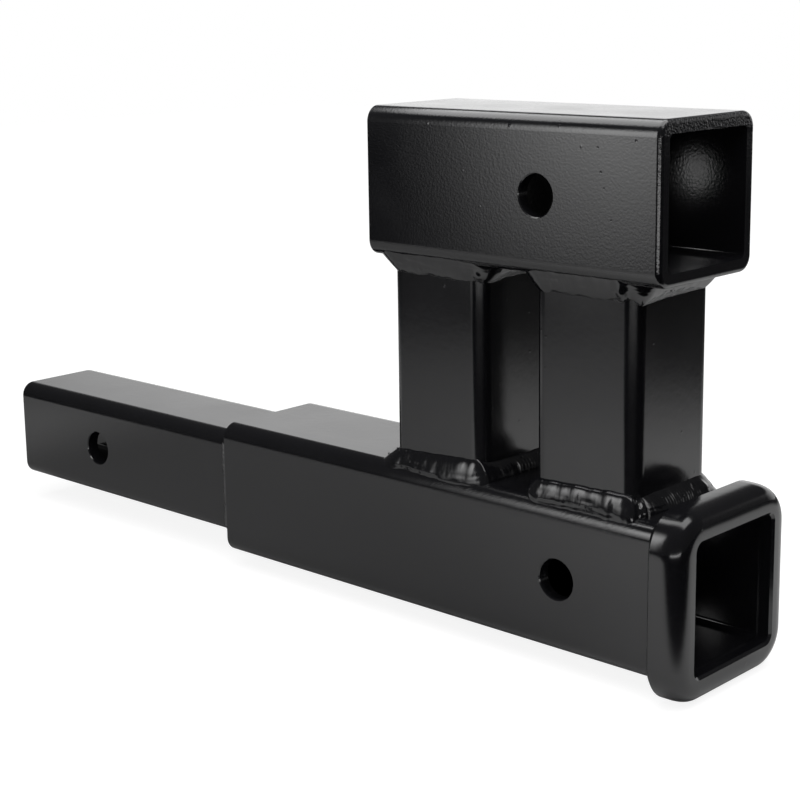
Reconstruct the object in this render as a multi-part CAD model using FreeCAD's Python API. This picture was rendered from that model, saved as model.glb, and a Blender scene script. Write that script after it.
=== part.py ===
import FreeCAD, Part
import math
import os

# Hitch receiver extender with two sockets, one above the other.
# A square shank slides into a vehicle's hitch receiver and is pinned there. Its front end is welded
# into a larger square tube, the lower socket, whose mouth carries a rounded collar. Two uprights stand
# on that tube and carry a short tube on top, the upper socket, which is open at both ends.
#
# The origin is on the axis of the shank's pin hole, in the middle of the shank. +X points from the
# vehicle to the open mouths, +Z is up, and the object is symmetrical about the plane y = 0.

V = FreeCAD.Vector
inch = 25.4

# Shank: 2 inch square tube. Its tail is behind the pin hole, its reach is in front of it.
shank_size = 2.0 * inch
shank_wall = 0.25 * inch
shank_corner = 6.9
shank_tail = 66.0
shank_reach = 108.4
shank_insert = 52.0

# Sockets: receiver tube whose bore takes the same shank, which makes it 2.5 inch square outside
slide_clearance = 1.0 / 32.0 * inch
socket_wall = 7.0 / 32.0 * inch
bore_corner = 2.4
receiver_length = 260.0
receiver_corner = 7.2

# Collar round the lower mouth. The step is how far its opening stands back from the socket's bore.
collar_wall = 7.25
collar_corner = 17.5
collar_lip = 6.2
collar_overlap = 9.2
collar_step = 0.8
collar_front_flat = 0.2
collar_opening_bevel = 1.0
collar_rear_bevel = 1.3
collar_clearance = 0.15

# Uprights: 2 inch square tube. The inset is from the front upright to the lower socket's front end.
upright_size = 2.0 * inch
upright_wall = 0.1875 * inch
upright_corner = 6.1
upright_inset = 24.4
upright_gap = 27.0
rise = 91.4

# Upper socket: how far it stands out past the two uprights
upper_rear_overhang = 7.25
upper_front_overhang = 14.15
upper_corner = 6.6
mouth_round = 2.0
cut_end_bevel = 0.6

# Pin holes for a 5/8 inch hitch pin, through both side walls of each tube
pin_hole = 17.0
pin_hole_bevel = 0.45
lower_pin_setback = 64.4
upper_pin_setback = 58.8

# Weld beads. The rise runs along the piece that ends at the joint, the reach lies across it.
upright_weld_rise = 7.3
upright_weld_side_reach = 4.4
upright_weld_end_reach = 6.8
shank_weld_rise = 9.0
shank_weld_reach = 4.6
collar_weld_rise = 4.0
collar_weld_reach = 4.0
weld_bulge = 1.35
weld_levels = 3
weld_root = 3.5

# How far cutters run past what they cut, and how close two lengths are to count as equal
cut_margin = 5.0
same = 1e-4

# Sizes and places that follow from those above
bore_size = shank_size + 2 * slide_clearance
socket_size = bore_size + 2 * socket_wall
collar_size = socket_size + 2 * collar_wall
collar_opening = bore_size + 2 * collar_step
collar_nose_round = (collar_size - collar_opening) / 2 - collar_opening_bevel - collar_front_flat
receiver_rear = shank_reach
receiver_front = receiver_rear + receiver_length
collar_front = receiver_front + collar_lip
collar_rear = receiver_front - collar_overlap
shank_front = receiver_rear + shank_insert
front_upright_x = receiver_front - upright_inset - upright_size / 2
rear_upright_x = front_upright_x - upright_size - upright_gap
upper_rear = rear_upright_x - upright_size / 2 - upper_rear_overhang
upper_front = front_upright_x + upright_size / 2 + upper_front_overhang
upper_length = upper_front - upper_rear
receiver_top = socket_size / 2
upper_bottom = receiver_top + rise
upper_axis_z = upper_bottom + socket_size / 2
lower_pin_x = collar_front - lower_pin_setback
upper_pin_x = upper_front - upper_pin_setback


def rounded_rectangle(width, depth, corner):
    """Closed wire in the plane z = 0, centred on the origin, width along x and depth along y."""
    half_w, half_d = width / 2, depth / 2
    diagonal = corner * (1 - math.sqrt(0.5))
    edges = []
    corners = [(1, 1), (-1, 1), (-1, -1), (1, -1)]
    for index, (sx, sy) in enumerate(corners):
        along_side = V(sx * half_w, sy * (half_d - corner), 0)
        along_end = V(sx * (half_w - corner), sy * half_d, 0)
        middle = V(sx * (half_w - diagonal), sy * (half_d - diagonal), 0)
        first, last = (along_side, along_end) if index % 2 == 0 else (along_end, along_side)
        if edges:
            edges.append(Part.LineSegment(previous, first).toShape())
        else:
            start = first
        edges.append(Part.Arc(first, middle, last).toShape())
        previous = last
    edges.append(Part.LineSegment(previous, start).toShape())
    return Part.Wire(edges)


def along_x(shape, x, z):
    """Turns a shape built along +Z so that it runs along +X, and moves its start to (x, 0, z)."""
    turned = shape.copy()
    turn = FreeCAD.Placement(V(x, 0, z), FreeCAD.Rotation(V(0, 1, 0), 90))
    turned.Placement = turn.multiply(shape.Placement)
    return turned


def prism(size, corner, length):
    """Solid square bar with rounded corners, standing on z = 0."""
    return Part.Face(rounded_rectangle(size, size, corner)).extrude(V(0, 0, length))


def edges_round(bar, height, half_width):
    """The edges of a square outline of this half width that lie at this height."""
    found = []
    for edge in bar.Edges:
        box = edge.BoundBox
        flat = box.ZLength < same and abs(box.ZMin - height) < same
        reach = max(abs(box.XMin), abs(box.XMax), abs(box.YMin), abs(box.YMax))
        if flat and abs(reach - half_width) < same:
            found.append(edge)
    return found


def bevel_end(bar, height, bevel, size):
    """Bevels the edges of the square outline of this size at one end of a bar."""
    return bar.makeChamfer(bevel, edges_round(bar, height, size / 2))


def round_end(bar, height, radius, size):
    """Rounds the edges of the square outline of this size at one end of a bar."""
    return bar.makeFillet(radius, edges_round(bar, height, size / 2))


def square_tube(size, corner, bore, inner_corner, length):
    """Square tube standing on z = 0, as sawn to length."""
    bar = prism(size, corner, length)
    hollow = prism(bore, inner_corner, length + 2 * cut_margin)
    hollow.translate(V(0, 0, -cut_margin))
    return bar.cut(hollow)


def cross_pin_hole(x, z, width):
    """Cutter for a pin hole along Y through a tube of this width, with a bevel at each outer face."""
    radius = pin_hole / 2
    depth = pin_hole_bevel + cut_margin
    tool = Part.makeCylinder(radius, width + 2 * cut_margin, V(x, -width / 2 - cut_margin, z), V(0, 1, 0))
    for side in (-1, 1):
        mouth = V(x, side * (width / 2 - pin_hole_bevel), z)
        tool = tool.fuse(Part.makeCone(radius, radius + depth, depth, mouth, V(0, side, 0)))
    return tool


def build_shank():
    """Hollow shank, open at its tail, with its front end inside the lower socket."""
    length = shank_tail + shank_front
    inner_corner = max(shank_corner - shank_wall, bore_corner)
    tube = square_tube(shank_size, shank_corner, shank_size - 2 * shank_wall, inner_corner, length)
    tube = bevel_end(tube, 0, cut_end_bevel, shank_size)
    tube = bevel_end(tube, length, cut_end_bevel, shank_size)
    return along_x(tube, -shank_tail, 0).cut(cross_pin_hole(0, 0, shank_size))


def build_receiver():
    """Lower socket: the shank is welded into its rear end and the collar sits on its front end."""
    tube = square_tube(socket_size, receiver_corner, bore_size, bore_corner, receiver_length)
    tube = bevel_end(tube, 0, cut_end_bevel, socket_size)
    tube = bevel_end(tube, receiver_length, cut_end_bevel, socket_size)
    return along_x(tube, receiver_rear, 0).cut(cross_pin_hole(lower_pin_x, 0, socket_size))


def build_upper():
    """Upper socket, open at both ends, with a rounded mouth."""
    tube = square_tube(socket_size, upper_corner, bore_size, bore_corner, upper_length)
    tube = bevel_end(tube, 0, cut_end_bevel, socket_size)
    tube = round_end(tube, upper_length, mouth_round, socket_size)
    tube = along_x(tube, upper_rear, upper_axis_z)
    return tube.cut(cross_pin_hole(upper_pin_x, upper_axis_z, socket_size))


def build_collar():
    """Ring over the front end of the lower socket, with a bullnose front and a lip over the tube's end."""
    length = collar_front - collar_rear
    ring = prism(collar_size, collar_corner, length)
    ring = bevel_end(ring, 0, collar_rear_bevel, collar_size)
    ring = round_end(ring, length, collar_nose_round, collar_size)
    seat_size = socket_size + 2 * collar_clearance
    seat = prism(seat_size, receiver_corner + collar_clearance, collar_overlap + cut_margin)
    seat.translate(V(0, 0, -cut_margin))
    opening = prism(collar_opening, bore_corner + collar_step, length + 2 * cut_margin)
    ring = ring.cut(seat).cut(opening)
    ring = bevel_end(ring, length, collar_opening_bevel, collar_opening)
    return along_x(ring, collar_rear, 0)


def build_upright(x):
    """Square tube that stands on the lower socket and ends against the upper one."""
    inner_corner = max(upright_corner - upright_wall, bore_corner)
    tube = square_tube(upright_size, upright_corner, upright_size - 2 * upright_wall, inner_corner, rise)
    tube.translate(V(x, 0, receiver_top))
    return tube


def bead_ring(size, corner, reach_x, reach_y, height, root):
    """Fillet bead round a square bar that stands on z = 0. It stands on the plane z = 0, narrows
    upwards in a slightly bulging curve, and goes down by root, so that it can be cut to a curved seat."""
    shares = [level / weld_levels for level in range(weld_levels + 1)]
    levels = [(height * share, (1 - share ** weld_bulge) ** (1 / weld_bulge)) for share in shares]
    if root > 0:
        levels.insert(0, (-root, 1.0))
    sections = []
    for z, width in levels:
        out_x, out_y = reach_x * width, reach_y * width
        section = rounded_rectangle(size + 2 * out_x, size + 2 * out_y, corner + min(out_x, out_y))
        section.translate(V(0, 0, z))
        sections.append(section)
    return Part.makeLoft(sections, True, True)


def build_upright_weld(x, at_top, carrier):
    """Bead round one end of an upright, cut to the upright and to the tube that carries it."""
    bead = bead_ring(upright_size, upright_corner, upright_weld_end_reach, upright_weld_side_reach,
                     upright_weld_rise, weld_root)
    bar = prism(upright_size, upright_corner, rise)
    if at_top:
        bead.rotate(V(0, 0, 0), V(1, 0, 0), 180)
        bead.translate(V(x, 0, upper_bottom))
    else:
        bead.translate(V(x, 0, receiver_top))
    bar.translate(V(x, 0, receiver_top))
    return bead.cut(bar).cut(carrier)


def build_shank_weld():
    """Bead round the shank where it enters the lower socket. Its root closes the gap between them."""
    bead = bead_ring(shank_size, shank_corner, shank_weld_reach, shank_weld_reach, shank_weld_rise, 0.0)
    bead.rotate(V(0, 0, 0), V(1, 0, 0), 180)
    bead = along_x(bead, receiver_rear, 0)
    bar = along_x(prism(shank_size, shank_corner, shank_tail + shank_front), -shank_tail, 0)
    return bead.cut(bar)


def build_collar_weld():
    """Small bead behind the collar, on the lower socket."""
    bead = bead_ring(socket_size, receiver_corner, collar_weld_reach, collar_weld_reach,
                     collar_weld_rise, 0.0)
    bead.rotate(V(0, 0, 0), V(1, 0, 0), 180)
    bead = along_x(bead, collar_rear, 0)
    bar = along_x(prism(socket_size, receiver_corner, receiver_length), receiver_rear, 0)
    return bead.cut(bar)


# Outer forms of the two socket tubes, to which the beads of the uprights are cut
lower_bar = along_x(prism(socket_size, receiver_corner, receiver_length), receiver_rear, 0)
upper_bar = along_x(prism(socket_size, upper_corner, upper_length), upper_rear, upper_axis_z)

pieces = {
    "shank_tube": build_shank(),
    "receiver_tube": build_receiver(),
    "mouth_collar": build_collar(),
    "rear_upright": build_upright(rear_upright_x),
    "front_upright": build_upright(front_upright_x),
    "upper_tube": build_upper(),
    "shank_weld": build_shank_weld(),
    "collar_weld": build_collar_weld(),
    "rear_upright_lower_weld": build_upright_weld(rear_upright_x, False, lower_bar),
    "front_upright_lower_weld": build_upright_weld(front_upright_x, False, lower_bar),
    "rear_upright_upper_weld": build_upright_weld(rear_upright_x, True, upper_bar),
    "front_upright_upper_weld": build_upright_weld(front_upright_x, True, upper_bar),
}

os.makedirs("parts", exist_ok=True)
for name, shape in pieces.items():
    box = shape.BoundBox
    print(f"{name}: {len(shape.Solids)} solid, {shape.Volume / 1000:.2f} cm3, "
          f"x {box.XMin:.2f}..{box.XMax:.2f}, y {box.YMin:.2f}..{box.YMax:.2f}, "
          f"z {box.ZMin:.2f}..{box.ZMax:.2f}, valid {shape.isValid()}")
    shape.exportStep(f"parts/{name}.step")
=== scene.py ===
# %% [markdown]
# # A powder-coated hitch receiver extender
#
# The object is a steel weldment: a square shank, a lower socket with a collar round its mouth, two
# uprights and a short upper socket. It was cut, welded and then coated black all over. The solids
# come from CAD as a fixed frame, in metres. Here they get their finish, new weld beads, a small
# studio and the camera. Nothing of the frame is moved.

# %% Load the frame
import bpy
import math
from mathutils import Matrix, Vector, noise


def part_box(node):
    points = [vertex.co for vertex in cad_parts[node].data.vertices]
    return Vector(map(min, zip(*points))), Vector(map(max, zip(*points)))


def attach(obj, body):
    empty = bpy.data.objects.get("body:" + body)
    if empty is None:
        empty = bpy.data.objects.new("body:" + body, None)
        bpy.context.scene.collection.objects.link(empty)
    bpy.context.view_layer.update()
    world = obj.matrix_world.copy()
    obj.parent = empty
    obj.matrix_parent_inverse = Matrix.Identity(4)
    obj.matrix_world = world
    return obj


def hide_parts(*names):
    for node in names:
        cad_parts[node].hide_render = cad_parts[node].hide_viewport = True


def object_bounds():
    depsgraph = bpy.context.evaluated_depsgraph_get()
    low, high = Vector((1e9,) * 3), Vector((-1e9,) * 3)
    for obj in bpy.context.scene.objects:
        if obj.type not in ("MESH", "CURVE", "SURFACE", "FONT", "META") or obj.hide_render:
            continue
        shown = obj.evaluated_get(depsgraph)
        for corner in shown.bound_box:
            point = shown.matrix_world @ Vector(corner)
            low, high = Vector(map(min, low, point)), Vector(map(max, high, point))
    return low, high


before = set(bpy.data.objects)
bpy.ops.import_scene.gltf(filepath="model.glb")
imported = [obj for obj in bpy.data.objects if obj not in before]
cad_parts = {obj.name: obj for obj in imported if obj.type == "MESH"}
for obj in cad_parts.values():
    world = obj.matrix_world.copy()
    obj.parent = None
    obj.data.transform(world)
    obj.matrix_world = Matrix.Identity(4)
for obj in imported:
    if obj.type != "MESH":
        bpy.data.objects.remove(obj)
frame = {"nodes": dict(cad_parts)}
cad_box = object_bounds()
nodes = frame["nodes"]
MM = 0.001
print("CAD nodes:", ", ".join(nodes))

# %% [markdown]
# ## Camera
#
# A camera is found from the picture by matching points whose places are known in CAD, such as the
# ends of the tubes and the middles of the pin holes. A long lens from about 0.9 m gives the mild
# perspective that the edges of the tubes show. The numbers below are what that match gave. Turning
# angles could be set as Euler angles, but a matrix made of three arrows (right, up and forward) is
# easier to check.

# %% Place the camera
CAMERA_PLACE = Vector((722.36, -558.87, 234.97)) * MM
CAMERA_YAW = math.radians(43.29)
CAMERA_PITCH = math.radians(-11.71)
CAMERA_ROLL = math.radians(-0.85)
LENS_MM = 78.0
SENSOR_MM = 36.0
# How far the optical axis meets the picture above its middle, as a share of the picture's width
SHIFT_UP = -0.0659

forward = Vector((-math.sin(CAMERA_YAW) * math.cos(CAMERA_PITCH),
                  math.cos(CAMERA_YAW) * math.cos(CAMERA_PITCH), math.sin(CAMERA_PITCH)))
level_right = Vector((math.cos(CAMERA_YAW), math.sin(CAMERA_YAW), 0))
level_up = level_right.cross(forward)
right = math.cos(CAMERA_ROLL) * level_right + math.sin(CAMERA_ROLL) * level_up
up = math.cos(CAMERA_ROLL) * level_up - math.sin(CAMERA_ROLL) * level_right

camera_data = bpy.data.cameras.new("camera")
camera_data.lens = LENS_MM
camera_data.sensor_width = SENSOR_MM
camera_data.shift_y = SHIFT_UP
camera = bpy.data.objects.new("camera", camera_data)
turn = Matrix((right, up, -forward)).transposed()
camera.matrix_world = Matrix.Translation(CAMERA_PLACE) @ turn.to_4x4()
bpy.context.scene.collection.objects.link(camera)
bpy.context.scene.camera = camera
print("camera looks along", [round(value, 3) for value in forward])

# %% [markdown]
# ## Helpers for materials
#
# A material is a graph of nodes. Two helpers are enough to build one: `linear` turns a colour that
# was written as sRGB hex into the linear numbers that the renderer works in, and `add_node` adds a
# node, sets its values and joins its inputs. A link is given as a node's output, and anything else is
# a value.

# %% Colour and node helpers
def linear(hex_colour):
    """The linear RGBA of an sRGB colour such as '#1a1a1a'."""
    channels = [int(hex_colour[start:start + 2], 16) / 255 for start in (1, 3, 5)]
    return [c / 12.92 if c <= 0.04045 else ((c + 0.055) / 1.055) ** 2.4 for c in channels] + [1.0]


def add_node(tree, kind, inputs=None, **settings):
    """Adds a node, gives it its settings, and sets or links the inputs that are named or numbered."""
    node = tree.nodes.new(kind)
    for name, value in settings.items():
        setattr(node, name, value)
    for key, value in (inputs or {}).items():
        if isinstance(value, bpy.types.NodeSocket):
            tree.links.new(value, node.inputs[key])
        else:
            node.inputs[key].default_value = value
    return node


def new_material(name):
    """An empty node material and its tree."""
    material = bpy.data.materials.new(name)
    material.use_nodes = True
    material.node_tree.nodes.clear()
    return material, material.node_tree


# %% [markdown]
# The coat, the floor, the lamps and the sky repeat a few small graphs: a calculation, a soft step, a
# mix of two colours, and a surface that the camera sees in one way and a mirror in another. Each gets
# a short name here, and returns the output to link on.

# %% Short names for what repeats
def add_math(tree, operation, first, second=0.0):
    """The result of one calculation."""
    return add_node(tree, "ShaderNodeMath", {0: first, 1: second}, operation=operation).outputs[0]


def add_product(tree, first, second):
    """The product of two values."""
    return add_math(tree, "MULTIPLY", first, second)


def add_ramp(tree, value, low, high, shape="SMOOTHSTEP"):
    """A soft or straight step from 0 at low to 1 at high. It goes down where high is under low."""
    ramp = add_node(tree, "ShaderNodeMapRange", {"Value": value, "From Min": low, "From Max": high},
                    interpolation_type=shape)
    return ramp.outputs["Result"]


def add_colour_mix(tree, share, first, second):
    """A colour between the first and the second, each given as sRGB hex or as a link."""
    ends = [linear(end) if isinstance(end, str) else end for end in (first, second)]
    mix = add_node(tree, "ShaderNodeMix", {"Factor": share, "A": ends[0], "B": ends[1]},
                   data_type="RGBA")
    return mix.outputs["Result"]


def add_camera_switch(tree, to_others, to_camera):
    """One shader for mirrors and lamps, and another for the camera."""
    path = add_node(tree, "ShaderNodeLightPath")
    switch = add_node(tree, "ShaderNodeMixShader", {0: path.outputs["Is Camera Ray"],
                                                    1: to_others.outputs[0], 2: to_camera.outputs[0]})
    return switch.outputs[0]


# %% [markdown]
# ## Black powder coat
#
# Powder coat is a polyester or epoxy powder that is sprayed on dry and baked until it flows. What the
# eye gets from it: a nearly black body, a clear reflection with soft edges, as from a semi-gloss
# plastic, and orange peel, a faint waviness 1 to 4 mm across which breaks up the edges of what is
# reflected. Dust and spatter baked under the film stand up as small nibs. All of it can be made from
# noise at real sizes, so no picture of the finish is needed. Each kind of relief is one bump on top
# of the one before.

# %% Sizes of the coat
COAT_BLACK, COAT_DUSTY = "#0b0b0d", "#101012"
COAT_ROUGHNESS = 0.15
COAT_IOR = 1.5
# Orange peel: the common thin one, and a thick one for the upper socket, highest inside its bore
PEEL_WIDTH, PEEL_HEIGHT = 3.2 * MM, 0.020 * MM
THICK_PEEL_WIDTH, THICK_PEEL_HEIGHT = 1.0 * MM, 0.042 * MM
INNER_PEEL_HEIGHT = 0.055 * MM
PEEL_DETAIL, PEEL_FINE_SHARE = 1.5, 0.45
# Grain, only a micrometre high, keeps the highlights from looking polished
GRAIN_WIDTH, GRAIN_HEIGHT, GRAIN_DETAIL = 0.45 * MM, 0.0010 * MM, 1.0
# Nibs: one cell of the pattern holds at most one, and only a share of the cells holds any
NIB_SPACING, NIB_RADIUS, NIB_HEIGHT = 11.0 * MM, 0.9 * MM, 0.06 * MM
NIB_SHARE = 0.35
# Height of the marks that a single tube carries, such as pits and scuffs
MARK_HEIGHT = 0.25 * MM
# Clouds of slightly duller and dustier coat
CLOUD_WIDTH, CLOUD_DETAIL = 35 * MM, 3.0
CLOUD_LOW, CLOUD_HIGH = 0.3, 0.7
GLOSS_SPREAD = 0.03


# %% [markdown]
# The peel's height may be a number, or a function that gives a height for each place. `marks` is such
# a function too, for what only one tube carries.

# %% Powder coat material
def add_noise(tree, place, width, detail, fine_share=0.5):
    """Noise whose largest grains have a width."""
    return add_node(tree, "ShaderNodeTexNoise", {"Vector": place, "Scale": 1 / width,
                                                 "Detail": detail, "Roughness": fine_share})


def add_bump(tree, height, distance, below=None):
    """A relief on top of the one below: the height from 0 to 1, and the distance that 1 stands for."""
    inputs = {"Height": height, "Distance": distance, "Strength": 1.0}
    if below:
        inputs["Normal"] = below.outputs["Normal"]
    return add_node(tree, "ShaderNodeBump", inputs)


def add_nibs(tree, place):
    """Height of the nibs: a nib is the middle of a cell, and only some cells have one."""
    cells = add_node(tree, "ShaderNodeTexVoronoi", {"Vector": place, "Scale": 1 / NIB_SPACING})
    nib = add_ramp(tree, cells.outputs["Distance"], NIB_RADIUS / NIB_SPACING, 0.0)
    cell_number = add_node(tree, "ShaderNodeSeparateColor", {"Color": cells.outputs["Color"]})
    chosen = add_math(tree, "LESS_THAN", cell_number.outputs["Red"], NIB_SHARE)
    return add_product(tree, nib, chosen)


def make_powder_coat(name, peel_height=PEEL_HEIGHT, roughness=COAT_ROUGHNESS, peel_width=PEEL_WIDTH,
                     marks=None):
    """Semi-gloss black powder coat on steel."""
    material, tree = new_material(name)
    place = add_node(tree, "ShaderNodeTexCoord").outputs["Object"]
    if callable(peel_height):
        peel_height = peel_height(tree, place)
    peel = add_noise(tree, place, peel_width, PEEL_DETAIL, PEEL_FINE_SHARE)
    grain = add_noise(tree, place, GRAIN_WIDTH, GRAIN_DETAIL)
    bump = add_bump(tree, peel.outputs["Fac"], peel_height)
    bump = add_bump(tree, grain.outputs["Fac"], GRAIN_HEIGHT, bump)
    bump = add_bump(tree, add_nibs(tree, place), NIB_HEIGHT, bump)
    if marks:
        bump = add_bump(tree, marks(tree, place), MARK_HEIGHT, bump)
    cloud = add_noise(tree, place, CLOUD_WIDTH, CLOUD_DETAIL).outputs["Fac"]
    gloss = add_node(tree, "ShaderNodeMapRange",
                     {"Value": cloud, "From Min": CLOUD_LOW, "From Max": CLOUD_HIGH,
                      "To Min": roughness - GLOSS_SPREAD, "To Max": roughness + GLOSS_SPREAD})
    coat = add_node(tree, "ShaderNodeBsdfPrincipled",
                    {"Base Color": add_colour_mix(tree, cloud, COAT_BLACK, COAT_DUSTY),
                     "Roughness": gloss.outputs["Result"], "IOR": COAT_IOR,
                     "Normal": bump.outputs["Normal"]})
    add_node(tree, "ShaderNodeOutputMaterial", {"Surface": coat.outputs["BSDF"]})
    return material


powder_coat = make_powder_coat("black_powder_coat_on_steel")
print("made", powder_coat.name, "with", len(powder_coat.node_tree.nodes), "nodes")

# %% [markdown]
# ## Marks in the coat
#
# Two tubes carry marks of their own. On the upper socket the coat is thicker, so its orange peel
# shows, most of all inside the bore, with nibs in a few places. The saw cut of its mouth is pitted
# along the top. The lower socket's top edge has slanting scuffs beside the front upright, from
# grinding before the coat. Each kind of mark is noise or a spot, kept to its region by soft steps
# along X, Y and Z.

# %% Places and sizes of the marks, in millimetres
UPPER_AXIS_Z = 154.9
# The thick peel grows over this stretch, from just outside the bore's wall to just inside it
BORE_OUTSIDE, BORE_INSIDE = 27.0, 26.4
# Nibs on the near side of the upper socket: x, z and radius. A negative radius is a pit.
NIBS = [(224.5, 183.3, 0.9), (243, 180.5, 0.8), (262, 162.4, 0.7), (271, 148.5, 0.7),
        (286.5, 181.8, 1.1), (311, 182.4, 1.0), (329.5, 175.2, -0.6), (331, 166, -0.7),
        (332.5, 160, -0.5), (347, 178.5, -0.7), (336, 148, -0.5), (305, 139, -0.5)]
NIB_MIDDLE_Y = -31.6
# A nib's height for each millimetre of its radius, as a share of MARK_HEIGHT
NIB_RISE = 0.55
# The pitted top of the mouth: soft steps along X and Z, and the size of a pit along each axis
PITTED_X, PITTED_Z = (357.2, 357.6), (178.0, 181.0)
PIT_SIZES = (1.0, 0.8, 1.1)
# The scuffs: soft steps across and along the edge, their slant, and the size of a scuff
EDGE_Y, EDGE_Z = (-24.0, -25.5), (22.5, 24.5)
SCUFFED_FROM_X, SCUFFED_TO_X = (215, 265), (354, 340)
SCUFF_SLANT = math.radians(38)
SCUFF_SIZES = (5.0, 1.5, 0.55)
SCUFF_RISE = 0.4


# %% Steps, spots and scuffs
def add_step(tree, value, ends):
    """A soft step between two places, in millimetres."""
    return add_ramp(tree, value, ends[0] * MM, ends[1] * MM)


def add_stretched_noise(tree, place, turn, sizes):
    """Noise whose grains have a size along each axis after a turn about Y, in millimetres."""
    turned = add_node(tree, "ShaderNodeVectorRotate", {"Vector": place, "Angle": turn},
                      rotation_type="Y_AXIS")
    scaled = add_node(tree, "ShaderNodeVectorMath",
                      {0: turned.outputs[0], 1: [1 / (size * MM) for size in sizes]},
                      operation="MULTIPLY")
    grains = add_node(tree, "ShaderNodeTexNoise",
                      {"Vector": scaled.outputs[0], "Scale": 1.0, "Detail": 2.0})
    return grains.outputs["Fac"]


def inner_peel(tree, place):
    """Height of the upper socket's peel, which is higher inside its bore."""
    axes = add_node(tree, "ShaderNodeSeparateXYZ", {"Vector": place})
    beside = add_math(tree, "ABSOLUTE", axes.outputs["Y"])
    raised = add_math(tree, "SUBTRACT", axes.outputs["Z"], UPPER_AXIS_Z * MM)
    farther = add_math(tree, "MAXIMUM", beside, add_math(tree, "ABSOLUTE", raised))
    inside = add_step(tree, farther, (BORE_OUTSIDE, BORE_INSIDE))
    height = add_node(tree, "ShaderNodeMapRange",
                      {"Value": inside, "To Min": THICK_PEEL_HEIGHT, "To Max": INNER_PEEL_HEIGHT})
    return height.outputs["Result"]


def upper_marks(tree, place):
    """Nibs on the near side, and the pitted top of the mouth."""
    axes = add_node(tree, "ShaderNodeSeparateXYZ", {"Vector": place})
    pitted = add_product(tree, add_step(tree, axes.outputs["X"], PITTED_X),
                         add_step(tree, axes.outputs["Z"], PITTED_Z))
    total = add_product(tree, pitted, add_stretched_noise(tree, place, 0.0, PIT_SIZES))
    for x, z, radius in NIBS:
        apart = add_node(tree, "ShaderNodeVectorMath",
                         {0: place, 1: (x * MM, NIB_MIDDLE_Y * MM, z * MM)}, operation="DISTANCE")
        nib = add_product(tree, add_step(tree, apart.outputs["Value"], (abs(radius), 0.0)),
                          NIB_RISE * abs(radius))
        total = add_math(tree, "ADD" if radius > 0 else "SUBTRACT", total, nib)
    return total


def edge_scuffs(tree, place):
    """Slanting scuffs on the lower socket's near top edge."""
    axes = add_node(tree, "ShaderNodeSeparateXYZ", {"Vector": place})
    on_edge = add_product(tree, add_step(tree, axes.outputs["Y"], EDGE_Y),
                          add_step(tree, axes.outputs["Z"], EDGE_Z))
    along = add_product(tree, add_step(tree, axes.outputs["X"], SCUFFED_FROM_X),
                        add_step(tree, axes.outputs["X"], SCUFFED_TO_X))
    scuffs = add_stretched_noise(tree, place, SCUFF_SLANT, SCUFF_SIZES)
    return add_product(tree, add_product(tree, on_edge, along), add_product(tree, scuffs, SCUFF_RISE))


# %% [markdown]
# ## Finish of the CAD pieces
#
# The tubes and the uprights already have their true shape, so they stay, and only get the coat.
# Assigning it to the object's own material slot leaves the mesh alone.

# %% Coat the CAD pieces
upper_coat = make_powder_coat("black_powder_coat_with_orange_peel", inner_peel, COAT_ROUGHNESS,
                              THICK_PEEL_WIDTH, upper_marks)
lower_coat = make_powder_coat("black_powder_coat_with_scuffed_edge", marks=edge_scuffs)
OWN_COATS = {"upper_tube": upper_coat, "receiver_tube": lower_coat}
COATED = ["shank_tube", "receiver_tube", "rear_upright", "front_upright", "upper_tube"]
for name in COATED:
    for slot in nodes[name].material_slots:
        slot.link = "OBJECT"
        slot.material = OWN_COATS.get(name, powder_coat)
print("coated", len(COATED), "pieces,", len(OWN_COATS), "with marks of their own")

# %% [markdown]
# ## Weld beads
#
# CAD gives each bead as a smooth ring. A bead laid by hand is a chain of frozen puddles: it swells
# and thins, its crests are about 2 mm apart with valleys between them, it piles up where the torch
# stops or turns a corner, and drops of spatter stick beside it. The film of paint only softens this.
# The beads decide how the joints look, so they are real geometry and not a bump map.
#
# One function lays them all. It walks round the square bar, and at each step draws a cross-section
# from the bar's face to the seat. The section is a superellipse: its power sets how full the bead is,
# from a flat bevel to a round roll, and so how much of it mirrors the grey board and how much the
# dark room. Three hidden rows inside the metal close the mesh.

# %% Outline of a square bar, and the seat under a bead
def outline(half, corner, length):
    """Point and outward normal at a length along a rounded square, from the left of its near side."""
    straight, arc = 2 * (half - corner), corner * math.pi / 2
    side, rest = divmod(length, straight + arc)
    if rest < straight:
        point, normal = Vector((rest - straight / 2, -half)), Vector((0, -1))
    else:
        swing = (rest - straight) / corner
        normal = Vector((math.sin(swing), -math.cos(swing)))
        point = Vector((straight / 2, -straight / 2)) + corner * normal
    turn = Matrix.Rotation(side * math.pi / 2, 2)
    return turn @ point, turn @ normal


def fall(across, half, corner):
    """How far a tube's rounded corner lies under its flat face, at a distance from its middle."""
    over = min(max(abs(across) - (half - corner), 0), corner)
    return corner - math.sqrt(corner ** 2 - over ** 2)


def between_stations(stations, length, total):
    """The values of a closed list of stations at a length, on a smooth curve through them."""
    after = next((index for index, row in enumerate(stations) if row[0] > length), 0)
    rows = [stations[(after + step) % len(stations)] for step in (-2, -1, 0, 1)]
    gaps = [(rows[step + 1][0] - rows[step][0]) % total for step in range(3)]
    share = (length - rows[1][0]) % total / gaps[1]
    values = []
    for v0, v1, v2, v3 in list(zip(*rows))[1:]:
        slope_1 = (v2 - v0) / (gaps[0] + gaps[1]) * gaps[1]
        slope_2 = (v3 - v1) / (gaps[1] + gaps[2]) * gaps[1]
        bend = 2 * (v1 - v2) + slope_1 + slope_2
        steer = 3 * (v2 - v1) - 2 * slope_1 - slope_2
        values.append(v1 + share * (slope_1 + share * (steer + share * bend)))
    return values


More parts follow.
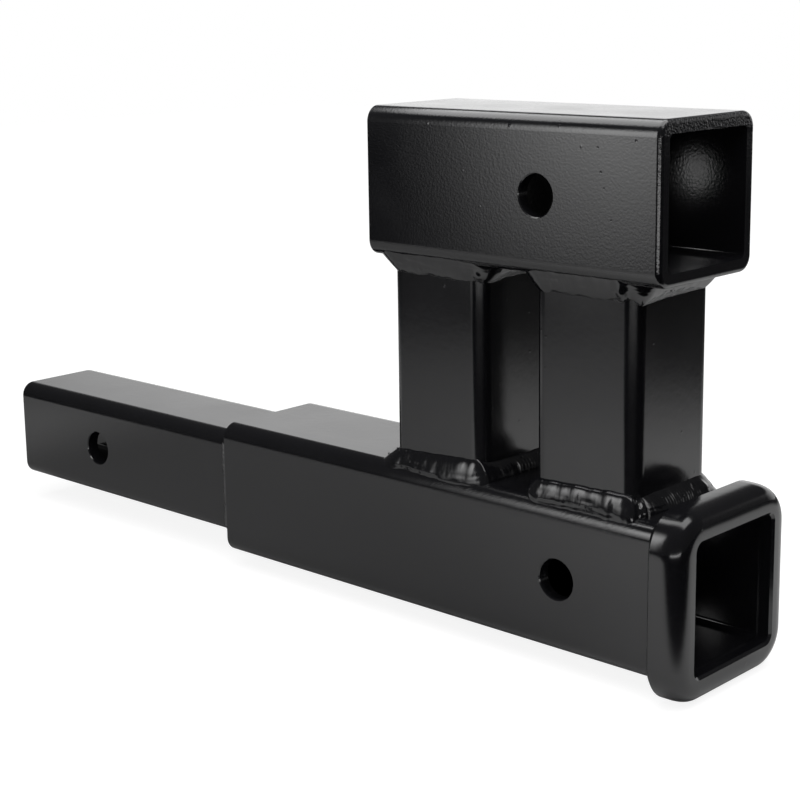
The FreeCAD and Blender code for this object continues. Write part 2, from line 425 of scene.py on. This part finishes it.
# %% [markdown]
# The skin of a bead is the superellipse plus four kinds of relief: reach and rise that wander a
# little, puddles whose crests bow along the run, flow marks that run lengthwise, and single lumps. A
# window fades the relief to nothing at the bar and at the seat, so that the bead always ends on the
# metal.

# %% Relief of a bead, in millimetres
# How far reach and rise wander, as a share of themselves, and over what length
REACH_DRIFT, REACH_DRIFT_LONG = 0.07, 4.0
RISE_DRIFT, RISE_DRIFT_LONG = 0.05, 5.0
WINDOW_POWER = 0.6
# How far a crest bows at the bar and at the seat, and how unevenly crests follow each other, in crests
PUDDLE_BOW = 1.6
PUDDLE_DRIFT, PUDDLE_DRIFT_LONG = 0.5, 6.0
# About the mean of |sin|, so that puddles don't change the bead's mean size
PUDDLE_MEAN = 0.65
# Broad and fine flow marks: the length of a mark, and how many lie across the section
FLOW_LONG, FLOW_ACROSS = 11.0, 6.0
FINE_SHARE, FINE_LONG, FINE_ACROSS = 0.25, 1.5, 9


def bead_radius(bead, length, share, total):
    """Distance from the root of the joint to the bead's skin, at a length and a share."""
    reach, rise, power, ripple = between_stations(bead["stations"], length, total)
    seed = bead["seed"]
    reach *= 1 + REACH_DRIFT * noise.noise(Vector((length / REACH_DRIFT_LONG, seed, 0)))
    rise *= 1 + RISE_DRIFT * noise.noise(Vector((length / RISE_DRIFT_LONG, seed, 9)))
    angle = share * math.pi / 2
    across, upwards = max(math.sin(angle), 0) / reach, max(math.cos(angle), 0) / rise
    radius = (across ** power + upwards ** power) ** (-1 / power)
    window = math.sin(math.pi * min(max(share, 0), 1)) ** WINDOW_POWER
    bow = PUDDLE_BOW * (2 * share - 1) ** 2
    drift = PUDDLE_DRIFT * noise.noise(Vector((length / PUDDLE_DRIFT_LONG, seed, 7)))
    crest = abs(math.sin(math.pi * ((length + bow) / bead["pitch"] + drift)))
    radius += window * ripple * (crest - PUDDLE_MEAN)
    broad = noise.noise(Vector((length / FLOW_LONG, share * FLOW_ACROSS, seed + 1)))
    fine = noise.noise(Vector((length / FINE_LONG, share * FINE_ACROSS, seed)))
    radius += window * bead["flow"] * (broad + FINE_SHARE * fine)
    for place, height_share, long, wide, height in bead["lumps"]:
        apart = abs(length - place)
        apart = min(apart, total - apart)
        beside = (share - height_share) * radius * math.pi / 2
        radius += height * math.exp(-(apart / long) ** 2 - (beside / wide) ** 2)
    return radius


# %% [markdown]
# A bead becomes a mesh by joining its sections, one every 0.3 mm, into a closed ring. The same
# joining serves the collar later. The mesh stays below 30,000 faces, and the step is still finer than
# a puddle.

# %% Lay one bead
BEAD_STEP = 0.30
BEAD_ROWS, HIDDEN_ROWS = 18, 3
# How deep the hidden rows lie in the metal
SUNK = 0.5


def join_sections(count, rows):
    """Faces that join closed sections of as many points each into a closed ring."""
    faces = []
    for step in range(count):
        start, following = step * rows, (step + 1) % count * rows
        for row in range(rows):
            after = (row + 1) % rows
            faces.append((start + row, start + after, following + after, following + row))
    return faces


def lay_bead(bead):
    """Vertices and faces of one bead: a closed ring of closed sections."""
    half, corner = bead["half"], bead["corner"]
    total = 8 * (half - corner) + 2 * math.pi * corner
    steps = int(total / BEAD_STEP)
    vertices = []
    for step in range(steps):
        length = step * total / steps
        point, normal = outline(half, corner, length)
        section = []
        for row in range(BEAD_ROWS):
            share = row / (BEAD_ROWS - 1)
            radius = bead_radius(bead, length, share, total)
            angle = share * math.pi / 2
            section.append((radius * math.sin(angle), radius * math.cos(angle)))
        top, toe = section[0][1], section[-1][0]
        section[0], section[-1] = (0.0, top), (toe, 0.0)
        section += [(toe - SUNK, -SUNK), (-SUNK, -SUNK), (-SUNK, top - SUNK)]
        vertices += [bead["place"](point + out * normal, high) for out, high in section]
    return vertices, join_sections(steps, BEAD_ROWS + HIDDEN_ROWS)


# %% [markdown]
# Drops of spatter are small balls, half sunk in the bead. They join its mesh, so each joint stays one
# piece. Every piece made here is smooth but for the edges that are sharper than a limit, and belongs
# to the root body, as nothing moves.

# %% Drops and pieces
DROP_TURNS, DROP_RINGS = 10, 6
SHARP_ANGLE = math.radians(35)


def add_drop(vertices, faces, middle, radius):
    """Adds a drop of spatter: a low-sided ball."""
    start = len(vertices)
    for ring in range(1, DROP_RINGS):
        tilt = math.pi * ring / DROP_RINGS
        for turn in range(DROP_TURNS):
            swing = 2 * math.pi * turn / DROP_TURNS
            way = Vector((math.sin(tilt) * math.cos(swing), math.sin(tilt) * math.sin(swing),
                          math.cos(tilt)))
            vertices.append(middle + radius * way)
    top, bottom = len(vertices), len(vertices) + 1
    vertices += [middle + Vector((0, 0, radius)), middle - Vector((0, 0, radius))]
    last = start + (DROP_RINGS - 2) * DROP_TURNS
    for turn in range(DROP_TURNS):
        after = (turn + 1) % DROP_TURNS
        faces.append((top, start + turn, start + after))
        faces.append((bottom, last + after, last + turn))
        for ring in range(DROP_RINGS - 2):
            first = start + ring * DROP_TURNS
            second = first + DROP_TURNS
            faces.append((first + turn, second + turn, second + after, first + after))


def add_piece(name, vertices, faces, material):
    """A mesh object from points in millimetres, smooth apart from its sharp edges."""
    mesh = bpy.data.meshes.new(name)
    mesh.from_pydata([vertex * MM for vertex in vertices], [], faces)
    mesh.polygons.foreach_set("use_smooth", [True] * len(mesh.polygons))
    mesh.set_sharp_from_angle(angle=SHARP_ANGLE)
    mesh.materials.append(material)
    mesh.update()
    piece = bpy.data.objects.new(name, mesh)
    bpy.context.scene.collection.objects.link(piece)
    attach(piece, "root")
    print(name, "has", len(vertices), "vertices and", len(faces), "faces")
    return piece


# %% [markdown]
# ## Stations of each bead
#
# The sizes of the bars and seats are read from the boxes of the CAD nodes, so the beads stay on them.
# The corners are the tubes' own and can't be read from a box. All is in millimetres.

# %% What a bead lies on
UPRIGHT_CORNER, RECEIVER_CORNER, UPPER_CORNER, SHANK_CORNER = 6.1, 7.2, 6.6, 6.9


def box_mm(name):
    """The low and high corner of a CAD node's box, in millimetres."""
    low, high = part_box(name)
    return Vector(low) / MM, Vector(high) / MM


receiver_low, receiver_high = box_mm("receiver_tube")
socket_half = (receiver_high.z - receiver_low.z) / 2
shank_low, shank_high = box_mm("shank_tube")
shank_half = (shank_high.z - shank_low.z) / 2
collar_low, collar_high = box_mm("mouth_collar")


def upright_bead(node, upright, seed, pitch, flow, stations, lumps, drops):
    """A bead round one end of an upright. The upper ones are the lower ones turned over."""
    low, high = box_mm(upright)
    middle = (low + high) / 2
    upper = "upper" in node
    seat, way = (high.z, -1) if upper else (low.z, 1)
    seat_corner = UPPER_CORNER if upper else RECEIVER_CORNER

    def place(point, upwards):
        lowered = fall(point.y, socket_half, seat_corner)
        return Vector((middle.x + point.x, point.y, seat + way * (upwards - lowered)))

    return {"node": node, "half": (high.x - low.x) / 2, "corner": UPRIGHT_CORNER, "seed": seed,
            "pitch": pitch, "flow": flow, "stations": stations, "lumps": lumps, "drops": drops,
            "place": place}


def tube_bead(node, half, corner, seat_x, seed, stations):
    """A bead round a tube that lies along X, in front of the face that the tube enters."""
    def place(point, upwards):
        return Vector((seat_x - upwards, point.x, point.y))

    return {"node": node, "half": half, "corner": corner, "seed": seed, "pitch": 2.1, "flow": 0.12,
            "stations": stations, "lumps": [], "drops": [], "place": place}


# %% [markdown]
# Each list of stations gives a length along the path, and there the bead's reach over the seat, its
# rise up the bar, the power of its superellipse (1 is flat, 2 is round) and the height of its
# puddles. The path starts at the left end of the near side, and turns the near right corner after
# 38.6 mm. The seen stretches follow the picture, and the rest is like them. A lump has a length, a
# share of the section from the bar down to the seat, a size along the bead, one across it and a
# height, which is negative for a dent. A drop of spatter has a length, a share and a radius.

# %% Describe the beads
beads = [
    upright_bead(
        "rear_upright_lower_weld", "rear_upright", seed=3.1, pitch=1.9, flow=0.16,
        stations=[(0, 3.9, 6.5, 1.6, 0.0), (9, 4.0, 6.9, 1.7, 0.0), (20, 4.3, 7.5, 1.7, 0.0),
                  (31, 4.6, 8.1, 1.6, 0.0), (35, 4.5, 8.4, 1.5, 0.0), (38.6, 4.2, 8.5, 1.4, 0.0),
                  (40.7, 4.6, 8.5, 1.35, 0.0), (42, 5.4, 8.4, 1.3, 0.0), (43.4, 6.5, 8.2, 1.25, 0.0),
                  (44.6, 6.3, 7.9, 1.25, 0.0), (46.5, 5.0, 7.4, 1.3, 0.0), (53, 5.0, 6.8, 1.3, 0.03),
                  (70, 5.4, 6.6, 1.4, 0.12), (84, 6.2, 6.8, 1.2, 0.06), (92, 5.6, 6.8, 1.2, 0.03),
                  (100, 4.2, 6.8, 1.7, 0.08), (135, 4.2, 6.8, 1.7, 0.08), (145, 6.2, 6.8, 1.2, 0.04),
                  (165, 6.5, 6.9, 1.1, 0.08), (180, 7.0, 6.7, 1.05, 0.0), (185, 7.6, 6.3, 1.0, 0.0),
                  (189, 6.4, 6.2, 1.2, 0.0)],
        lumps=[(12, 0.70, 15, 0.8, 0.55), (26, 0.86, 4, 1.0, 0.5), (5, 0.82, 3, 0.5, -0.3),
               (60, 0.5, 2.0, 2.0, 0.5)],
        drops=[(188.5, 0.12, 0.45), (190.8, 0.10, 0.5), (2.5, 0.10, 0.4), (6.2, 0.45, 0.6),
               (11.2, 0.5, 0.6), (9.2, 0.47, 0.4), (185.0, 0.8, 0.6), (1.5, 0.84, 0.5),
               (4.6, 0.86, 0.5), (12.6, 0.88, 0.6), (50, 0.5, 0.4), (66, 0.2, 0.5), (76, 0.25, 0.4)]),
    upright_bead(
        "front_upright_lower_weld", "front_upright", seed=7.7, pitch=1.7, flow=0.26,
        stations=[(0, 4.3, 7.3, 2.2, 0.0), (6, 4.2, 7.6, 2.2, 0.015), (13, 4.1, 7.7, 2.2, 0.02),
                  (20, 3.9, 7.8, 2.2, 0.015), (27, 4.1, 8.2, 2.2, 0.0), (33, 4.4, 8.5, 2.1, 0.0),
                  (38.6, 4.3, 8.6, 2.0, 0.0), (40.7, 4.9, 8.4, 1.9, 0.0), (41.8, 5.7, 8.1, 1.8, 0.0),
                  (42.8, 6.2, 7.6, 1.7, 0.0), (44.2, 4.3, 6.3, 1.4, 0.0), (45.6, 5.6, 7.2, 2.0, 0.0),
                  (47.4, 4.2, 6.9, 1.5, 0.0), (50, 4.4, 6.9, 1.3, 0.0), (55, 5.0, 7.1, 1.2, 0.05),
                  (63, 5.6, 7.0, 1.15, 0.10), (76, 6.0, 7.0, 1.15, 0.10), (84, 6.6, 7.2, 1.1, 0.02),
                  (92, 6.3, 7.1, 1.05, 0.0), (99, 4.4, 6.8, 1.5, 0.06), (136, 4.2, 6.8, 1.6, 0.08),
                  (148, 6.0, 6.8, 1.2, 0.05), (183, 5.6, 6.9, 1.3, 0.05), (188, 5.0, 7.0, 1.6, 0.02)],
        lumps=[(10, 0.12, 16, 0.7, 0.22), (2, 0.40, 3, 0.9, -0.3), (10, 0.42, 2.5, 0.7, -0.25),
               (25, 0.45, 4, 1.1, -0.4), (16, 0.78, 13, 0.5, -0.25), (45.6, 0.5, 1.0, 2.5, 0.4),
               (85, 0.5, 2.2, 2.2, 0.9), (79, 0.3, 1.2, 1.2, -0.4)],
        drops=[(20.5, 0.6, 0.5), (23.5, 0.62, 0.5), (26.5, 0.62, 0.45), (24, 0.85, 0.5),
               (27, 0.88, 0.4), (14, 0.4, 0.4), (189, 0.6, 0.5), (57, 0.3, 0.4), (70, 0.6, 0.4)]),
    upright_bead(
        "rear_upright_upper_weld", "rear_upright", seed=12.4, pitch=2.4, flow=0.09,
        stations=[(0, 4.3, 6.9, 1.12, 0.0), (9, 4.4, 7.2, 1.12, 0.02), (18, 4.4, 6.9, 1.1, 0.02),
                  (27, 4.4, 7.3, 1.12, 0.0), (35, 4.2, 7.3, 1.15, 0.0), (40, 3.6, 6.6, 1.1, 0.0),
                  (45, 4.8, 7.8, 1.5, 0.0), (51, 5.4, 7.7, 1.3, 0.01), (60, 5.8, 6.6, 1.2, 0.03),
                  (86, 6.0, 6.8, 1.1, 0.03), (100, 4.3, 7.0, 1.2, 0.03), (135, 4.3, 7.0, 1.2, 0.03),
                  (146, 6.6, 6.9, 1.05, 0.02), (184, 6.7, 7.0, 1.0, 0.0), (189, 6.0, 7.0, 1.0, 0.0)],
        lumps=[(42, 0.3, 1.2, 1.2, 0.9), (6, 0.62, 5, 0.7, -0.3), (13, 0.45, 5, 0.6, -0.3),
               (1, 0.35, 3, 0.5, -0.25), (12, 0.25, 1.0, 1.0, 0.25)],
        drops=[(22, 0.05, 0.35), (30, 0.02, 0.35), (74, 0.3, 0.4)]),
    upright_bead(
        "front_upright_upper_weld", "front_upright", seed=16.9, pitch=2.2, flow=0.09,
        stations=[(0, 4.4, 7.3, 1.1, 0.0), (4, 4.4, 6.8, 1.15, 0.10), (12, 4.4, 7.2, 1.15, 0.12),
                  (17, 4.4, 6.9, 1.12, 0.02), (26, 4.4, 7.3, 1.1, 0.0), (34, 4.3, 7.1, 1.15, 0.0),
                  (38.5, 4.3, 7.2, 1.3, 0.0), (41, 3.3, 5.6, 1.1, 0.0), (45.5, 4.6, 8.3, 1.3, 0.0),
                  (52, 5.6, 7.8, 1.15, 0.02), (66, 5.8, 7.2, 1.1, 0.04), (84, 6.2, 7.0, 1.05, 0.0),
                  (92, 5.6, 7.0, 1.1, 0.0), (99, 4.3, 7.0, 1.2, 0.04), (138, 4.3, 7.0, 1.2, 0.04),
                  (150, 6.0, 7.0, 1.1, 0.04), (183, 5.4, 7.0, 1.2, 0.02)],
        lumps=[(38.3, 0.35, 1.1, 1.1, 0.7), (6, 0.7, 4, 0.6, -0.3), (22, 0.5, 4, 0.5, -0.25),
               (45.8, 0.02, 0.8, 0.8, 0.4)],
        drops=[(33, 0.03, 0.3), (60, 0.4, 0.35)]),
    tube_bead(
        "shank_weld", shank_half, SHANK_CORNER, receiver_low.x, seed=21.3,
        stations=[(0, 3.9, 8.2, 1.5, 0.05), (20, 4.2, 8.5, 1.6, 0.08), (37, 4.1, 8.2, 1.5, 0.05),
                  (60, 4.3, 8.5, 1.5, 0.10), (95, 4.0, 8.0, 1.5, 0.08), (130, 4.2, 8.4, 1.5, 0.10),
                  (165, 4.0, 8.2, 1.5, 0.08)]),
    tube_bead(
        "collar_weld", socket_half, RECEIVER_CORNER, collar_low.x, seed=25.8,
        stations=[(0, 3.5, 3.5, 1.4, 0.04), (40, 3.7, 3.7, 1.4, 0.04), (90, 3.4, 3.5, 1.4, 0.06),
                  (150, 3.7, 3.6, 1.4, 0.06), (200, 3.5, 3.5, 1.4, 0.04)]),
]

# %% Lay the beads
# The coat flows together on a bead: its peel is lower and it shines a little more
WELD_PEEL_SHARE, WELD_EXTRA_GLOSS = 0.4, 0.02
weld_coat = make_powder_coat("black_powder_coat_on_weld", PEEL_HEIGHT * WELD_PEEL_SHARE,
                             COAT_ROUGHNESS - WELD_EXTRA_GLOSS)
for bead in beads:
    vertices, faces = lay_bead(bead)
    for length, share, radius in bead["drops"]:
        spot = (round(length / BEAD_STEP) * (BEAD_ROWS + HIDDEN_ROWS)
                + round(share * (BEAD_ROWS - 1)))
        add_drop(vertices, faces, vertices[spot].copy(), radius)
    piece = add_piece(bead["node"] + "_bead", vertices, faces, weld_coat)
    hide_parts(bead["node"])

# %% [markdown]
# ## Collar round the lower mouth
#
# The collar's nose isn't a quarter of a circle. Its side and its front stay nearly flat, and it turns
# quickly between them, so the dark line between the two grey faces is narrow. A superellipse gives
# that. The ring is drawn as a section that is carried round, from the collar's outer square to its
# opening.

# %% Draw the collar's section, in millimetres
COLLAR_CORNER, OPENING_HALF, OPENING_CORNER = 17.5, 26.99, 3.2
NOSE_POWER = 3.0
NOSE_LONG, NOSE_DEEP = 12.0, 11.0
OPENING_BEVEL, REAR_BEVEL = 1.0, 1.3
# The lip turns in at the shoulder, and behind it the ring sits on the tube
SEAT_DEPTH, SHOULDER = 7.1, 6.2
NOSE_STEPS, STRAIGHT_STEPS, ARC_STEPS = 28, 10, 26
# The nose stops just short of a quarter turn, where the tangent would be infinite
LAST_TILT = 0.9999
opening_depth = collar_high.y - OPENING_HALF


def collar_section(front, rear):
    """The ring's section as places along X and depths under its outer faces."""
    section = [(rear, REAR_BEVEL), (rear + REAR_BEVEL, 0.0)]
    for step in range(NOSE_STEPS + 1):
        tilt = min(step / NOSE_STEPS, LAST_TILT) * math.pi / 2
        lean = math.tan(tilt) ** (1 / (NOSE_POWER - 1))
        outer = (1 + lean ** NOSE_POWER) ** (-1 / NOSE_POWER)
        section.append((front - NOSE_LONG * (1 - outer * lean), NOSE_DEEP * (1 - outer)))
    section += [(front - OPENING_BEVEL, opening_depth), (front - SHOULDER, opening_depth),
                (front - SHOULDER, SEAT_DEPTH), (rear, SEAT_DEPTH)]
    return section


# %% Carry the section round
def square_point(half, corner, turn):
    """A point on a rounded square. One side and the corner after it take 1 of the turn's 4."""
    side, rest = divmod(turn, 1)
    flat = half - corner
    if rest < 0.5:
        point = Vector(((4 * rest - 1) * flat, -half))
    else:
        swing = (rest - 0.5) * math.pi
        point = Vector((flat + corner * math.sin(swing), -flat - corner * math.cos(swing)))
    return Matrix.Rotation(side * math.pi / 2, 2) @ point


section = collar_section(collar_high.x, collar_low.x)
turns = [side + step / (2 * STRAIGHT_STEPS) for side in range(4) for step in range(STRAIGHT_STEPS)]
turns += [side + 0.5 + step / (2 * ARC_STEPS) for side in range(4) for step in range(ARC_STEPS)]
turns.sort()
ring = []
for turn in turns:
    outside = square_point(collar_high.y, COLLAR_CORNER, turn)
    inside = square_point(OPENING_HALF, OPENING_CORNER, turn)
    for x, depth in section:
        point = outside.lerp(inside, depth / opening_depth)
        ring.append(Vector((x, point.x, point.y)))
collar = add_piece("mouth_collar_ring", ring, join_sections(len(turns), len(section)), powder_coat)
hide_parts("mouth_collar")

# %% [markdown]
# ## Floor
#
# The object lies near the front edge of a white board, in a dark room. What the coat mirrors shows
# that: the sides mirror the board and are grey, while each upright edge that faces the camera mirrors
# the dark in front of the board and is black. One big plane is enough. Its matt white is painted only
# where the board lies, and beside the object a painted shadow of the object greys it. To the camera
# the whole plane adds its own white, so that the picture's ground is white and the object's shadow
# stays faint.

# %% Sizes and shades of the board, in metres
# The grey that follows the white is a painted shadow of the object on the board beside it.
BOARD_WHITE, PAINTED_SHADOW_GREY, BESIDE_GREY, ROOM_BLACK = "#e9e9e9", "#a6a6a6", "#555555", "#080808"
# Each edge is a line. It is given by the heading of the line's outer side, as an angle from +X to its
# left, by how far it lies from the origin, and by the width over which it fades. The last four bound
# a painted shadow: the part of the board beside the object, which the room's low light doesn't reach,
# is painted grey.
BOARD_EDGES = [
    ("left", math.radians(212), 0.42, 0.36),
    ("right", CAMERA_YAW + math.radians(11), 0.68, 0.30),
    ("front", CAMERA_YAW - math.radians(79), 0.375, 0.04),
    ("painted_shadow_front", math.radians(315), 0.27, 0.20),
    ("painted_shadow_right", 0.0, 0.36, 0.18),
    ("painted_shadow_left", math.radians(180), 0.16, 0.12),
    ("painted_shadow_near", math.radians(270), 0.30, 0.44),
]
FLOOR_REACH = 2.4
FLOOR_CLEARANCE = 0.2 * MM
floor_level = cad_box[0][2] - FLOOR_CLEARANCE
# The plane's own white is a little lower under the object than far from it. The rest of what the camera
# sees there is the light on the floor, of which this share is kept, so that the shadow shows.
OWN_WHITE_NEAR, OWN_WHITE_FAR = 0.88, 1.0
WHITE_MIDDLE = (0.15, 0, floor_level)
WHITE_NEAR_REACH, WHITE_FAR_REACH = 0.30, 0.7
SHADE_SHARE = 0.2


# %% Lay the floor
def add_board_colour(tree, place):
    """The board's colour at each place: white, a painted shadow beside the object, and dark past its
    edges.
    """
    inside = {}
    for side, turn, distance, fade in BOARD_EDGES:
        outwards = (math.cos(turn), math.sin(turn), 0)
        reach = add_node(tree, "ShaderNodeVectorMath", {0: place, 1: outwards},
                         operation="DOT_PRODUCT")
        inside[side] = add_ramp(tree, reach.outputs["Value"], distance + fade / 2,
                                distance - fade / 2)
    # Painted shadow: beside the object the board's white is mixed to a grey, which stands for the
    # object's shadow.
    painted_shadow = add_product(tree, add_product(tree, inside["painted_shadow_left"], inside["painted_shadow_near"]),
                         add_product(tree, inside["painted_shadow_front"], inside["painted_shadow_right"]))
    board = add_colour_mix(tree, painted_shadow, BOARD_WHITE, PAINTED_SHADOW_GREY)
    on_board = add_product(tree, inside["left"], inside["right"])
    behind = add_colour_mix(tree, on_board, BESIDE_GREY, board)
    return add_colour_mix(tree, inside["front"], ROOM_BLACK, behind)


def make_board():
    """Matt white board in a dark room, with a painted shadow beside the object. It is white to the
    camera and keeps a faint shadow.
    """
    material, tree = new_material("matt_white_board")
    place = add_node(tree, "ShaderNodeTexCoord").outputs["Object"]
    middle = add_node(tree, "ShaderNodeVectorMath", {0: place, 1: WHITE_MIDDLE}, operation="DISTANCE")
    own = add_node(tree, "ShaderNodeMapRange",
                   {"Value": middle.outputs["Value"], "From Min": WHITE_NEAR_REACH,
                    "From Max": WHITE_FAR_REACH, "To Min": OWN_WHITE_NEAR, "To Max": OWN_WHITE_FAR})
    matt = add_node(tree, "ShaderNodeBsdfDiffuse", {"Color": add_board_colour(tree, place)})
    faint = add_node(tree, "ShaderNodeBsdfDiffuse", {"Color": [SHADE_SHARE] * 3 + [1.0]})
    glow = add_node(tree, "ShaderNodeEmission", {"Strength": own.outputs["Result"]})
    white = add_node(tree, "ShaderNodeAddShader", {0: faint.outputs[0], 1: glow.outputs[0]})
    add_node(tree, "ShaderNodeOutputMaterial", {"Surface": add_camera_switch(tree, matt, white)})
    return material


signs = ((-1, -1), (1, -1), (1, 1), (-1, 1))
floor_corners = [(x * FLOOR_REACH, y * FLOOR_REACH, floor_level) for x, y in signs]
floor_mesh = bpy.data.meshes.new("floor")
floor_mesh.from_pydata(floor_corners, [], [(0, 1, 2, 3)])
floor = bpy.data.objects.new("floor", floor_mesh)
floor.data.materials.append(make_board())
bpy.context.scene.collection.objects.link(floor)
print("floor at", round(floor_level / MM, 1), "mm")

# %% [markdown]
# ## Light
#
# Black gloss shows hardly any light of its own: what the eye reads is what it mirrors. The top faces
# mirror a white backdrop, the sides the board, and the rounded edges the dark between them. So each
# lamp is placed by where it shows. A small box hangs close over the right half and draws a line along
# the upper tube's edge. A strip to the left of the camera brightens the right ends of the faces and
# edges that look that way. A low strip behind the camera draws the thin line down the upper mouth. A
# broad ceiling lights the board and is kept out of the mirror, where it would only repeat the small
# box.

# %% Helpers for soft boxes
def hang_soft_box(name, place, way, width, height, radiance):
    """A rectangular lamp at a place that shines along a way, and that the camera doesn't see."""
    lamp = bpy.data.lights.new(name, "AREA")
    lamp.shape = "RECTANGLE"
    lamp.size, lamp.size_y = width, height
    lamp.energy = radiance * math.pi * width * height
    soft_box = bpy.data.objects.new(name, lamp)
    soft_box.location = place
    soft_box.rotation_euler = way.to_track_quat("-Z", "Y").to_euler()
    soft_box.visible_camera = False
    bpy.context.scene.collection.objects.link(soft_box)
    print(name, "of", round(width, 2), "by", round(height, 2), "m,", round(lamp.energy, 2), "W")
    return soft_box


def soften(soft_box, left, right_end, bottom, top):
    """Lets a box fade to its edges, as cloth in front of a bulb does, by shares of its size."""
    lamp = soft_box.data
    lamp.use_nodes = True
    tree = lamp.node_tree
    tree.nodes.clear()
    face = add_node(tree, "ShaderNodeNewGeometry").outputs["Parametric"]
    across = add_node(tree, "ShaderNodeSeparateXYZ", {"Vector": face})
    sides = add_product(tree, add_ramp(tree, across.outputs["X"], 0.0, left),
                        add_ramp(tree, across.outputs["X"], 1.0, 1.0 - right_end))
    ends = add_product(tree, add_ramp(tree, across.outputs["Y"], 0.0, bottom, "LINEAR"),
                       add_ramp(tree, across.outputs["Y"], 1.0, 1.0 - top))
    glow = add_node(tree, "ShaderNodeEmission", {"Strength": add_product(tree, sides, ends)})
    add_node(tree, "ShaderNodeOutputLight", {"Surface": glow.outputs[0]})


def heading(turn):
    """The level direction at an angle from +Y to its left."""
    return Vector((-math.sin(turn), math.cos(turn), 0))


# %% [markdown]
# Each lamp has a place, a width, a height and a radiance. The radiance is what a perfect mirror would
# show of it: 1 is the white of the picture. The coat mirrors 4 % head on and more at a slant, so
# lamps of 3 to 6 give the bright lines of the picture.

# %% Hang the soft boxes, in metres
UP = Vector((0, 0, 1))
BOX_PLACE = Vector((0.29, -0.005, 0.33))
box = hang_soft_box("small_box_overhead", BOX_PLACE, -UP, 0.46, 0.225, 3.8)
soften(box, 0.11, 0.11, 0.22, 0.22)

# The strip stands at a distance from the upper tube's right end, moved sideways until its fade matches
STRIP_HEADING = heading(math.radians(150))
STRIP_AIM = Vector((0.32, -0.03, 0.26))
STRIP_DISTANCE, STRIP_ASIDE = 0.45, 0.067
strip_place = (STRIP_AIM + STRIP_DISTANCE * STRIP_HEADING
               + STRIP_ASIDE * STRIP_HEADING.cross(UP))
strip = hang_soft_box("side_strip", strip_place, -STRIP_HEADING, 0.23, 0.48, 5.6)
soften(strip, 0.66, 0.13, 0.48, 0.417)

LOW_HEADING = heading(math.radians(214))
LOW_AIM = Vector((0.357, -0.031, 0.015))
LOW_DISTANCE = 1.0
hang_soft_box("low_strip", LOW_AIM + LOW_DISTANCE * LOW_HEADING, -LOW_HEADING, 1.15, 0.10, 5.0)

CEILING_PLACE = Vector((0.40, -0.10, 0.9))
ceiling = hang_soft_box("ceiling", CEILING_PLACE, -UP, 1.4, 1.4, 2.6)
ceiling.visible_glossy = False

# %% [markdown]
# ## Backdrop
#
# The backdrop stands so far away that it can be painted into the world, by the direction of the ray.
# It is white behind the object, fades to the sides and upwards, and the rest of the room is nearly
# dark. The camera sees white everywhere.

# %% Paint the backdrop into the world
BACKDROP_LEVEL = 1.22
ROOM_LEVEL = 0.07
# Edges of the backdrop as angles from +Y to its left, and its height as an angle over the horizon
BACKDROP_MIDDLE = math.radians(17)
BACKDROP_FULL, BACKDROP_GONE = math.radians(27), math.radians(52)
BACKDROP_TOP_FULL, BACKDROP_TOP_GONE = math.radians(16), math.radians(25)

world = bpy.data.worlds.new("studio")
world.use_nodes = True
tree = world.node_tree
tree.nodes.clear()
ray = add_node(tree, "ShaderNodeTexCoord").outputs["Generated"]
parts = add_node(tree, "ShaderNodeSeparateXYZ", {"Vector": ray})
flat = add_node(tree, "ShaderNodeCombineXYZ", {"X": parts.outputs["X"], "Y": parts.outputs["Y"]})
flat = add_node(tree, "ShaderNodeVectorMath", {0: flat.outputs[0]}, operation="NORMALIZE")
facing = add_node(tree, "ShaderNodeVectorMath", {0: flat.outputs[0], 1: heading(BACKDROP_MIDDLE)},
                  operation="DOT_PRODUCT")
sideways = add_ramp(tree, facing.outputs["Value"], math.cos(BACKDROP_GONE), math.cos(BACKDROP_FULL))
upwards = add_ramp(tree, parts.outputs["Z"], math.sin(BACKDROP_TOP_GONE), math.sin(BACKDROP_TOP_FULL))
strength = add_node(tree, "ShaderNodeMapRange",
                    {"Value": add_product(tree, sideways, upwards),
                     "To Min": ROOM_LEVEL, "To Max": BACKDROP_LEVEL})
WHITE = (1, 1, 1, 1)
room = add_node(tree, "ShaderNodeBackground", {"Color": WHITE, "Strength": strength.outputs["Result"]})
ground = add_node(tree, "ShaderNodeBackground", {"Color": WHITE, "Strength": 1.0})
add_node(tree, "ShaderNodeOutputWorld", {"Surface": add_camera_switch(tree, room, ground)})
bpy.context.scene.world = world
bpy.context.scene.view_settings.view_transform = "Standard"
